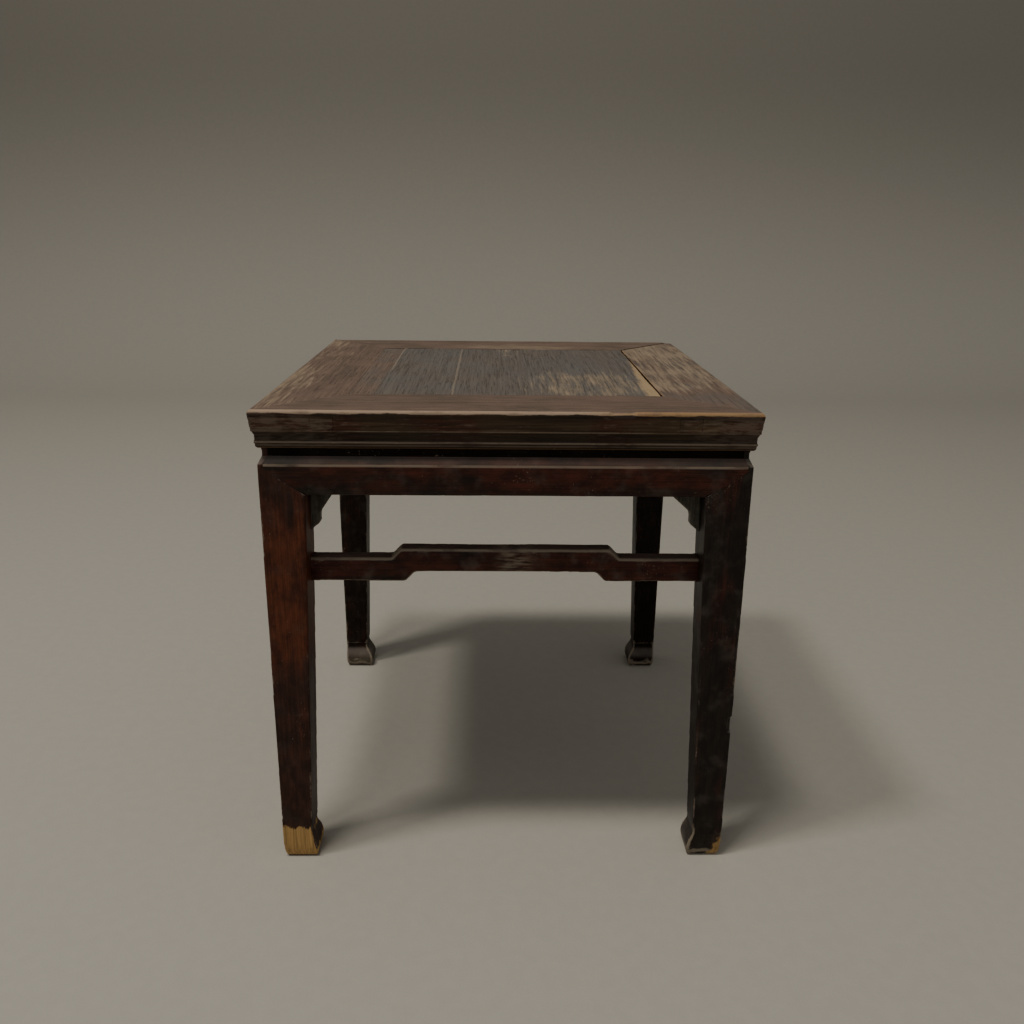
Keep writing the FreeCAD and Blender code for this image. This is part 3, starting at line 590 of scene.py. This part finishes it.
def lacquer(name, deep, worn, worn_share, rub=1.0, film=0.0, bare=None, blush=None, scuff=None, scuffed=None,
            dusty=0.8, gloss=0.2):
    """Old lacquer over wood: deep where it is whole, worn in patches along the grain, rubbed on the arrises.

    Where they are given, bare returns where the wood has lost its lacquer, blush where the worn colour is
    strongest, and scuff where the lacquer is scuffed to a colour of its own.
    """
    colours = bpy.context.scene.table_finish
    look = Finish(name)
    figure = look.noise(look.scaled(look.grain, (5, 70, 70)), 1, 5)
    patches = look.noise(look.scaled(look.grain, (14, 26, 26)), 1, 4)
    streaks = look.noise(look.scaled(look.grain, (14, 620, 620)), 1, 2)
    specks = look.noise(look.place, 520, 2)
    worn_to = look.add(look.times(figure, 0.45), look.times(patches, 0.55))
    if blush:
        worn_to = look.add(worn_to, blush(look))
    colour = look.mix(look.step(worn_to, 0.58 - 0.3 * worn_share, 0.78 - 0.3 * worn_share), deep, worn)
    colour = look.shade(colour, look.step(streaks, 0.25, 0.75, 0.72, 1.28))
    mottle = look.noise(look.scaled(look.grain, (45, 90, 90)), 1, 6, 0.65)
    colour = look.shade(colour, look.step(mottle, 0.3, 0.7, 0.55, 1.45))
    film_share = look.step(look.noise(look.place, 45, 5), 0.48, 0.7, 0, film)
    colour = look.mix(film_share, colour, colours.dust)
    up = look.step(look.facing_up, 0.2, 0.7, 0, dusty)
    colour = look.mix(look.times(up, look.step(patches, 0.2, 0.6, 0.55, 1)), colour, colours.dust)
    edge = edge_wear(look, rub)
    colour = look.mix(edge, colour, colours.rubbed)
    if scuff:
        scuffs = scuff(look)
        colour = look.mix(scuffs, colour, scuffed or colours.rubbed)
        edge = look.most(edge, scuffs)
    nicks = look.step(look.add(specks, look.times(patches, 0.5)), 0.97, 1.04, 0, 0.6)
    colour = look.mix(nicks, colour, colours.rubbed)
    roughness = look.step(worn_to, 0.3, 0.7, 0.36, 0.52)
    roughness = look.add(roughness, look.times(look.most(edge, up), 0.28))
    if bare:
        stripped = bare(look)
        wood = look.shade(colours.bare_wood, look.step(streaks, 0.2, 0.8, 0.6, 1.25))
        colour = look.mix(stripped, colour, wood)
        roughness = look.add(roughness, look.times(stripped, 0.35))
    height = look.add(look.times(streaks, 0.4), look.times(look.noise(look.place, 160, 3), 0.6))
    height = look.add(height, look.times(edge, -0.6))
    return look.finish(colour, roughness, height, 0.0004, gloss)


def edge_lacquer(look, figure, patches):
    """The moulded edge of the top: brown lacquer, worn at the corners and rubbed on its mouldings, with
    painted shade in its cove and a painted shadow under its rim.
    """
    colours = bpy.context.scene.table_finish
    height = look.axis(look.place, "Z")
    out = look.math("ABSOLUTE", look.axis(look.place, "X"))
    along = look.math("MINIMUM", out, look.math("ABSOLUTE", look.axis(look.place, "Y")))
    side = look.mix(look.step(figure, 0.3, 0.6, 0.25, 1), colours.lacquer_black, colours.lacquer_brown)
    side = look.mix(look.step(patches, 0.44, 0.62, 0, 0.65), side, colours.lacquer_red)
    streaks = look.noise(look.scaled(look.place, (12, 12, 420)), 1, 3)
    side = look.shade(side, look.step(streaks, 0.3, 0.7, 0.6, 1.4))
    scuffs = look.noise(look.scaled(look.place, (70, 70, 420)), 1, 5, 0.62)
    worn_end = look.step(along, WORN_END, WORN_END + 0.04, 0, 0.13)
    scuffs = look.add(look.add(look.times(scuffs, 0.8), look.times(patches, 0.3)), worn_end)
    side = look.mix(look.step(scuffs, 0.6, 0.78, 0, 0.5), side, colours.rubbed)
    # Painted shade: the cove and everything below its top are darkened to under half
    side = look.shade(side, look.step(height, COVE_TOP - 0.001, COVE_TOP, 0.45, 1))
    # Painted shadow: a dark band just under the rubbed rim, as if cast by its lip
    side = look.shade(side, look.step(height, TABLE_TOP - 0.0095, TABLE_TOP - 0.0055, 1, 0.5))
    broken = look.noise(look.scaled(look.grain, (25, 60, 60)), 1, 4)
    step_line = look.times(look.step(look.distance(height, COVE_TOP + 0.0007), 0.0004, 0.0011, 0.85, 0),
                           look.step(along, WORN_END, WORN_END + 0.02, 1, 0.15))
    bead_line = look.step(look.distance(height, BEAD_LEVEL), 0.0005, 0.0014, 0.75, 0)
    lip_line = look.step(look.distance(height, LIP_LEVEL), 0.0004, 0.0012, 0.4, 0)
    lines = look.most(look.most(step_line, bead_line), lip_line)
    return look.mix(look.times(lines, look.step(broken, 0.32, 0.5, 0.35, 1)), side, colours.rubbed)


def rubbed_rim(look):
    """The upper arris of the top's edge, rubbed to the wood in a line that is hardly broken."""
    height = look.axis(look.place, "Z")
    out = look.math("ABSOLUTE", look.axis(look.place, "Y"))
    broken = look.noise(look.scaled(look.place, (40, 40, 90)), 1, 5, 0.6)
    low = look.add(TABLE_TOP - 0.0062, look.times(broken, 0.005))
    line = look.step(look.math("SUBTRACT", height, low), 0, 0.0012)
    return look.times(look.times(line, look.step(out, TABLE_HALF - 0.0045, TABLE_HALF - 0.0025)),
                      look.step(broken, 0.3, 0.5, 0.55, 0.95))


def worn_top(name, main, second, tan_share, fields=None, bare=None, seams=()):
    """The top's dulled lacquer, with scuffs and scratches along the grain, and the moulded edge below it.

    fields, where given, returns where the scuffs are thickest, and bare where only wood is left. A seam is
    the x at which dust has filled the joint of two boards, and the y at which the dust ends.
    """
    colours = bpy.context.scene.table_finish
    look = Finish(name)
    figure = look.noise(look.scaled(look.grain, (4, 50, 50)), 1, 5)
    patches = look.noise(look.place, 18, 6, 0.6)
    streaks = look.noise(look.scaled(look.grain, (9, 420, 420)), 1, 3)
    scuffs = look.noise(look.scaled(look.grain, (18, 260, 260)), 1, 6, 0.66)
    top = look.mix(look.step(look.add(patches, look.times(figure, 0.5)), 0.55, 0.95), main, second)
    tan = look.add(look.times(scuffs, 0.8), look.times(look.noise(look.place, 12, 4), 0.5))
    if fields:
        tan = look.add(tan, fields(look))
    tan = look.step(tan, 0.8 - 0.16 * tan_share, 1.06 - 0.16 * tan_share, 0, 0.7)
    top = look.mix(tan, top, colours.top_tan)
    strokes = look.step(look.noise(look.scaled(look.grain, (24, 560, 560)), 1, 4, 0.6), 0.53, 0.66)
    top = look.shade(top, look.step(strokes, 0, 1, 1.08, 0.72))
    top = look.shade(top, look.step(streaks, 0.3, 0.7, 0.86, 1.14))
    if bare:
        top = look.mix(bare(look), top, colours.bare_board)
    for seam, dust_end in seams:
        ragged = look.times(look.noise(look.scaled(look.place, (60, 45, 1)), 1, 4), 0.003)
        off = look.math("SUBTRACT", look.add(look.axis(look.place, "X"), ragged), seam + 0.0015)
        dusty = look.times(look.step(look.distance(off, 0.0014), 0.0006, 0.002, 0.5, 0),
                           look.step(look.axis(look.place, "Y"), dust_end - 0.05, dust_end + 0.03))
        top = look.mix(dusty, top, colours.seam_dust)
        top = look.shade(top, look.step(look.distance(off, -0.0005), 0.0003, 0.0012, 0.45, 1))
    up = look.step(look.facing_up, 0.5, 0.85)
    colour = look.mix(up, edge_lacquer(look, figure, patches), top)
    edge = look.most(edge_wear(look, 0.75), rubbed_rim(look))
    golden = look.step(look.axis(look.place, "X"), 0.06, 0.14)
    colour = look.mix(edge, colour, look.mix(golden, colours.rubbed_top, colours.rubbed_gold))
    under = look.step(look.facing_up, -0.9, -0.5, 1, 0)
    colour = look.mix(under, colour, look.shade(colours.raw_wood, look.step(streaks, 0.2, 0.8, 0.6, 1.2)))
    roughness = look.step(look.noise(look.place, 30, 4), 0.3, 0.7, 0.46, 0.64)
    roughness = look.add(roughness, look.times(look.most(edge, under), 0.25))
    height = look.add(look.times(streaks, 0.3), look.add(look.times(scuffs, 0.5), look.times(strokes, -0.4)))
    return look.finish(colour, roughness, look.times(height, up), 0.0005)


def raw_timber(name, grain):
    """Unlacquered wood, brown with age. grain is the name of the coordinates that it follows."""
    colours = bpy.context.scene.table_finish
    look = Finish(name)
    along = getattr(look, grain)
    figure = look.noise(look.scaled(along, (5, 60, 60)), 1, 5)
    streaks = look.noise(look.scaled(along, (10, 500, 500)), 1, 3)
    tone = look.step(look.add(figure, look.times(streaks, 0.5)), 0.4, 1.1, 0.5, 1.3)
    colour = look.shade(colours.raw_wood, tone)
    roughness = look.step(figure, 0.3, 0.7, 0.62, 0.8)
    return look.finish(colour, roughness, look.add(figure, streaks), 0.0003)


def bare_front_foot(look):
    """The front left foot, whose face is stripped to the wood up to a ragged line, but not its curl."""
    ragged = look.times(look.noise(look.scaled(look.place, (90, 90, 30)), 1, 5, 0.6), 0.034)
    curl = look.step(look.axis(look.place, "X"), FOOT_INNER - 0.003, FOOT_INNER + 0.003, 0, 0.026)
    height = look.axis(look.place, "Z")
    line = look.add(look.add(height, ragged), curl)
    stripped = look.step(line, BARE_FOOT_LINE, BARE_FOOT_LINE + 0.003, 1, 0)
    return look.times(stripped, look.step(height, 0.001, 0.003))


def bare_outer_corner(look):
    """The outer corner of the front right foot, which is stripped to the wood."""
    ragged = look.times(look.noise(look.place, 160, 4), 0.014)
    height = look.axis(look.place, "Z")
    inside = look.math("SUBTRACT", look.add(look.axis(look.place, "X"), ragged), look.times(height, 0.4))
    corner = look.step(inside, BARE_CORNER, BARE_CORNER + 0.004, 0, 0.75)
    return look.times(corner, look.step(height, 0.02, 0.03, 1, 0))


def rubbed_foot(look):
    """A foot with its sole and its arrises rubbed through the lacquer."""
    height = look.axis(look.place, "Z")
    ragged = look.times(look.noise(look.place, 90, 4), 0.012)
    sole = look.step(look.distance(look.add(height, ragged), SOLE_LINE), 0.0015, 0.0035, 0.8, 0)
    broken = look.add(look.times(look.arris, 1.2), look.noise(look.place, 110, 4))
    edges = look.step(broken, 0.62, 0.88, 0, 0.75)
    return look.most(sole, look.times(edges, look.step(height, 0.034, 0.046, 1, 0)))


def rubbed_right_leg(look):
    """The front right leg, with its foot rubbed, and its inner arris beside the stretcher."""
    height = look.axis(look.place, "Z")
    beside = look.times(look.step(height, INNER_RUB_LOW, INNER_RUB_LOW + 0.025),
                        look.step(height, INNER_RUB_HIGH - 0.015, INNER_RUB_HIGH, 1, 0))
    inner = look.times(look.step(look.axis(look.place, "X"), LEG_INNER, LEG_INNER + 0.0012, 1, 0),
                       look.step(look.axis(look.place, "Y"), LEG_FACE, LEG_FACE + 0.003, 1, 0))
    worn = look.step(look.noise(look.scaled(look.place, (60, 60, 25)), 1, 4), 0.35, 0.55, 0.1, 0.45)
    return look.most(rubbed_foot(look), look.times(look.times(beside, inner), worn))


def rubbed_back_foot(look):
    """A foot that is rubbed grey nearly all over."""
    height = look.add(look.axis(look.place, "Z"), look.times(look.noise(look.place, 60, 4), 0.03))
    return look.most(rubbed_foot(look), look.step(height, 0.022, 0.046, 0.28, 0))


def apron_ridge(look):
    """The ridge between an apron's shoulder and its face, rubbed pale."""
    line = look.step(look.distance(look.axis(look.place, "Z"), RIDGE_LEVEL), 0.0006, 0.0018, 0.85, 0)
    broken = look.noise(look.scaled(look.grain, (25, 60, 60)), 1, 4)
    return look.times(line, look.step(broken, 0.3, 0.5, 0.4, 1))


def stretcher_wear(look):
    """The stretcher's upper arris and ramps, rubbed pale, and a plain scuff in its middle."""
    rounded = look.times(look.step(look.facing_up, 0.25, 0.5), look.step(look.facing_up, 0.86, 0.97, 1, 0))
    broken = look.noise(look.scaled(look.grain, (30, 70, 70)), 1, 4)
    arris = look.times(rounded, look.step(broken, 0.32, 0.5, 0.25, 0.8))
    near = look.step(look.distance(look.axis(look.place, "X"), SCUFF_MIDDLE), 0.004, 0.026, 1, 0)
    scuff = look.step(look.noise(look.scaled(look.place, (55, 55, 420)), 1, 5, 0.65), 0.36, 0.62, 0, 0.62)
    return look.most(arris, look.times(near, scuff))


def knee_blush(look):
    """The upper half of the front left leg, which light has faded to its red."""
    height = look.axis(look.place, "Z")
    return look.times(look.step(height, KNEE_LOW, KNEE_LOW + 0.09),
                      look.step(height, KNEE_HIGH - 0.09, KNEE_HIGH, 0.28, 0.08))


class TABLE_OT_top_frame(bpy.types.Operator):
    """Wears the four mitred members of the top's frame"""

    bl_idname = "table.top_frame"
    bl_label = "Top Frame"

    def execute(self, context):
        colours = context.scene.table_finish
        brown, pink, taupe = colours.top_brown, colours.top_pink, colours.top_taupe

        def faded_side(look):
            """The outer edge of the left member, faded by light."""
            return look.step(look.axis(look.place, "X"), -TABLE_HALF, -0.17, 0.22, 0)

        def worn_run(look):
            """The middle of the right member, worn along its length but not at its front end."""
            return look.step(look.axis(look.place, "Y"), -0.2, -0.1, -0.1, 0.21)

        def back_shine(look):
            """The back member behind the widest board."""
            return look.times(look.patch(0.02, 0.18, 0.09, 0.04), 0.16)

        looks = {
            "frame_front": worn_top("frame_front", brown, pink, 0.1),
            "frame_back": worn_top("frame_back", pink, brown, 0.8, back_shine),
            "frame_left": worn_top("frame_left", brown, pink, 0.3, faded_side),
            "frame_right": worn_top("frame_right", pink, taupe, 0.5, worn_run),
        }
        for node, look in looks.items():
            along = ALONG_X if node in ("frame_front", "frame_back") else ALONG_Y
            worn_piece(node, along, look, TOP_KNOCKS, fineness=0.7, hardship=1.3)
        return {"FINISHED"}


class TABLE_OT_boards(bpy.types.Operator):
    """Wears the three boards of the panel"""

    bl_idname = "table.boards"
    bl_label = "Panel Boards"

    def execute(self, context):
        colours = context.scene.table_finish

        def pale_edge(look):
            """A wedge along the panel's right edge that is worn to the wood, widest at the front."""
            across = look.axis(look.place, "X")
            width = look.step(look.axis(look.place, "Y"), PANEL_LOW.y, PANEL_HIGH.y, 0.019, 0.002)
            ragged = look.times(look.noise(look.scaled(look.place, (160, 40, 1)), 1, 5, 0.65), 0.014)
            start = look.math("SUBTRACT", PANEL_EDGE + 0.007, width)
            inside = look.math("SUBTRACT", look.add(across, ragged), start)
            return look.step(inside, 0.0, 0.007, 0, 0.95)

        def wide_fields(look):
            """Where the widest board is scuffed most: in front of its middle, and at the back."""
            front = look.times(look.patch(0.085, -0.1, 0.11, 0.125), 0.28)
            return look.most(front, look.times(look.patch(0.01, 0.13, 0.045, 0.06), 0.24))

        grey, taupe, pink = colours.top_grey, colours.top_taupe, colours.top_pink
        first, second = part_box("board_middle")[0].x, PANEL_LOW.x
        looks = {
            "board_narrow": worn_top("board_narrow", taupe, pink, 0.0),
            "board_middle": worn_top("board_middle", grey, taupe, -0.2, seams=((first, 0.0),)),
            "board_wide": worn_top(
                "board_wide", grey, taupe, -0.2, wide_fields, pale_edge, seams=((second, -0.3),)),
        }
        for node, look in looks.items():
            worn_piece(node, ALONG_Y, look, fineness=0.8)
        return {"FINISHED"}


class TABLE_OT_battens(bpy.types.Operator):
    """Wears the two battens under the panel and finishes the bracket pegs"""

    bl_idname = "table.battens"
    bl_label = "Battens and Pegs"

    def execute(self, context):
        timber = raw_timber("raw_timber", "grain")
        for node in ("batten_front", "batten_back"):
            worn_piece(node, ALONG_X, timber, fineness=1.3)
        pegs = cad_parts["bracket_pegs"]
        pegs.data.materials.clear()
        pegs.data.materials.append(raw_timber("peg_wood", "place"))
        return {"FINISHED"}


class TABLE_OT_waist(bpy.types.Operator):
    """Wears the four waist strips"""

    bl_idname = "table.waist"
    bl_label = "Waist"

    def execute(self, context):
        colours = context.scene.table_finish
        # The waist's deep colour is painted shade, near black where the top and the aprons shade it
        look = lacquer("waist_lacquer", colours.lacquer_painted_shade, colours.lacquer_black, 0.2, rub=0, gloss=0.05)
        for side, along in (("front", ALONG_X), ("back", ALONG_X), ("left", ALONG_Y), ("right", ALONG_Y)):
            worn_piece("waist_" + side, along, look)
        return {"FINISHED"}


class TABLE_OT_aprons(bpy.types.Operator):
    """Wears the four aprons"""

    bl_idname = "table.aprons"
    bl_label = "Aprons"

    def execute(self, context):
        colours = context.scene.table_finish
        look = lacquer(
            "apron_lacquer", colours.lacquer_black, colours.lacquer_red, 0.7, rub=0.6, film=0.15,
            scuff=apron_ridge, dusty=0.42)
        for side, along in (("front", ALONG_X), ("back", ALONG_X), ("left", ALONG_Y), ("right", ALONG_Y)):
            worn_piece("apron_" + side, along, look, fineness=0.8)
        return {"FINISHED"}


class TABLE_OT_legs(bpy.types.Operator):
    """Wears the four legs, each in its own state"""

    bl_idname = "table.legs"
    bl_label = "Legs"

    def execute(self, context):
        colours = context.scene.table_finish
        black, red, amber = colours.lacquer_black, colours.lacquer_red, colours.lacquer_amber
        looks = {
            "leg_front_left": lacquer(
                "leg_front_left", colours.lacquer_maroon, amber, 0.1, rub=0.35, film=0.07,
                bare=bare_front_foot, blush=knee_blush),
            "leg_front_right": lacquer(
                "leg_front_right", black, red, 0.25, rub=0.3, film=0.16, bare=bare_outer_corner,
                scuff=rubbed_right_leg, scuffed=colours.rubbed_pale),
            "leg_back_left": lacquer(
                "leg_back_left", black, red, 0.2, rub=0.5, film=0.1, scuff=rubbed_back_foot,
                scuffed=colours.rubbed_pale, gloss=0.1),
            "leg_back_right": lacquer(
                "leg_back_right", black, red, 0.1, rub=0.5, scuff=rubbed_foot, scuffed=colours.rubbed_pale,
                gloss=0.1),
        }
        for node, look in looks.items():
            worn_piece(node, ALONG_Z, look, LEG_KNOCKS, hardship=0.5)
        return {"FINISHED"}


class TABLE_OT_brackets(bpy.types.Operator):
    """Wears the eight brackets in the corners"""

    bl_idname = "table.brackets"
    bl_label = "Brackets"

    def execute(self, context):
        colours = context.scene.table_finish
        # The brackets' green is partly their lacquer and partly painted light, lightened for the apron's
        # shade on them
        look = lacquer(
            "bracket_lacquer", colours.lacquer_green_lightened, colours.lacquer_black, 0.15, rub=0.6, film=0.2)
        for node in sorted(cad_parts):
            if node.startswith("bracket_") and node != "bracket_pegs":
                worn_piece(node, ALONG_Z, look, fineness=0.8)
        return {"FINISHED"}


class TABLE_OT_stretchers(bpy.types.Operator):
    """Wears the two humpbacked stretchers"""

    bl_idname = "table.stretchers"
    bl_label = "Stretchers"

    def execute(self, context):
        colours = context.scene.table_finish
        look = lacquer(
            "stretcher_lacquer", colours.lacquer_black, colours.lacquer_red, 0.85, rub=0.7, film=0.25,
            scuff=stretcher_wear, scuffed=colours.rubbed_pale, dusty=0.4)
        for node in ("stretcher_front", "stretcher_back"):
            worn_piece(node, ALONG_X, look)
        return {"FINISHED"}


KEY_NEAR = Vector((-0.65, -0.89, 4.19))
KEY_FAR = Vector((-1.75, -0.89, 4.19))
KEY_NEAR_SHARE = 0.45
FILL = Vector((-0.8, -2.0, 1.9))
LIGHT_SIZE = 0.5
LIGHT_COLOUR = (1, 0.95, 0.87)
SKY_COLOUR = (1, 0.98, 0.94, 1)


class TABLE_OT_stage(bpy.types.Operator):
    """Sets the floor with its curved backdrop, the soft lights and the photograph's camera"""

    bl_idname = "table.stage"
    bl_label = "Studio"

    def execute(self, context):
        stage = context.scene.table_stage
        self.lay_floor(stage)
        self.hang_light("key_near", stage.key * KEY_NEAR_SHARE, KEY_NEAR)
        self.hang_light("key_far", stage.key * (1 - KEY_NEAR_SHARE), KEY_FAR)
        self.hang_light("fill", stage.fill, FILL)
        world = bpy.data.worlds.new("studio")
        world.use_nodes = True
        world.node_tree.nodes["Background"].inputs["Strength"].default_value = stage.sky
        world.node_tree.nodes["Background"].inputs["Color"].default_value = SKY_COLOUR
        context.scene.world = world
        self.set_camera(context, stage)
        return {"FINISHED"}

    def lay_floor(self, stage):
        """A sheet that lies flat under the table and sweeps up behind it, darkened upwards by painted shade.
        """
        width, front, back, sweep, rise = 200.0, -100.0, 2.4, 1.4, 4.0
        turns = [math.radians(angle) for angle in range(0, 91, 5)]
        line = [(front, 0.0)]
        line += [(back + sweep * math.sin(turn), sweep - sweep * math.cos(turn)) for turn in turns]
        line += [(back + sweep, sweep + rise)]
        points = [(side * width / 2, y, z) for y, z in line for side in (-1, 1)]
        faces = [(2 * n, 2 * n + 1, 2 * n + 3, 2 * n + 2) for n in range(len(line) - 1)]
        mesh = bpy.data.meshes.new("studio_floor")
        mesh.from_pydata(points, [], faces)
        mesh.shade_smooth()
        floor = bpy.data.objects.new("studio_floor", mesh)
        bpy.context.scene.collection.objects.link(floor)
        look = Finish("studio_paper")
        tone = look.step(look.noise(look.place, 60, 2), 0.3, 0.7, 0.985, 1.015)
        # Painted shade: the paper grows darker as the sweep rises, standing in for the light falling off
        darker = look.step(look.axis(look.place, "Z"), 0, sweep, 1, 0.62)
        paper = look.shade(stage.floor, look.times(tone, darker))
        mesh.materials.append(look.finish(paper, 0.85, look.noise(look.place, 400, 2), 0.0002))

    def hang_light(self, name, power, place):
        lamp = bpy.data.lights.new(name, "AREA")
        lamp.energy = power
        lamp.size = LIGHT_SIZE
        lamp.color = LIGHT_COLOUR
        light = bpy.data.objects.new(name, lamp)
        light.location = place
        light.rotation_euler = (Vector((0, 0, TABLE_TOP * 0.7)) - place).to_track_quat("-Z", "Y").to_euler()
        bpy.context.scene.collection.objects.link(light)

    def set_camera(self, context, stage):
        camera = bpy.data.cameras.new("photograph")
        camera.sensor_width = 36
        camera.lens = stage.lens
        eye = bpy.data.objects.new("photograph", camera)
        ahead = Vector((
            math.sin(stage.yaw) * math.cos(stage.pitch),
            math.cos(stage.yaw) * math.cos(stage.pitch),
            -math.sin(stage.pitch)))
        right = Vector((math.cos(stage.yaw), -math.sin(stage.yaw), 0))
        turn = Matrix((right, right.cross(ahead), -ahead)).transposed() @ Matrix.Rotation(stage.roll, 3, "Z")
        eye.matrix_world = Matrix.Translation(stage.eye) @ turn.to_4x4()
        context.scene.collection.objects.link(eye)
        context.scene.camera = eye


STEPS = (
    TABLE_OT_top_frame,
    TABLE_OT_boards,
    TABLE_OT_battens,
    TABLE_OT_waist,
    TABLE_OT_aprons,
    TABLE_OT_legs,
    TABLE_OT_brackets,
    TABLE_OT_stretchers,
    TABLE_OT_stage,
)


class TABLE_PT_build(bpy.types.Panel):
    """Lists the steps that dress the table"""

    bl_idname = "TABLE_PT_build"
    bl_label = "Side Table"
    bl_space_type = "VIEW_3D"
    bl_region_type = "UI"
    bl_category = "Side Table"

    def draw(self, context):
        for settings in (context.scene.table_wear, context.scene.table_finish, context.scene.table_stage):
            box = self.layout.box()
            for name in settings.__annotations__:
                box.prop(settings, name)
        for step in STEPS:
            self.layout.operator(step.bl_idname)


SETTINGS = {"table_wear": TableWear, "table_finish": TableFinish, "table_stage": TableStage}
CLASSES = (*SETTINGS.values(), *STEPS, TABLE_PT_build)


def register():
    for cls in CLASSES:
        bpy.utils.register_class(cls)
    for name, cls in SETTINGS.items():
        setattr(bpy.types.Scene, name, PointerProperty(type=cls))


def unregister():
    for name in SETTINGS:
        delattr(bpy.types.Scene, name)
    for cls in reversed(CLASSES):
        bpy.utils.unregister_class(cls)


def main():
    register()
    bpy.ops.table.top_frame()
    bpy.ops.table.boards()
    bpy.ops.table.battens()
    bpy.ops.table.waist()
    bpy.ops.table.aprons()
    bpy.ops.table.legs()
    bpy.ops.table.brackets()
    bpy.ops.table.stretchers()
    bpy.ops.table.stage()
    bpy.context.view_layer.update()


if __name__ == "__main__":
    main()
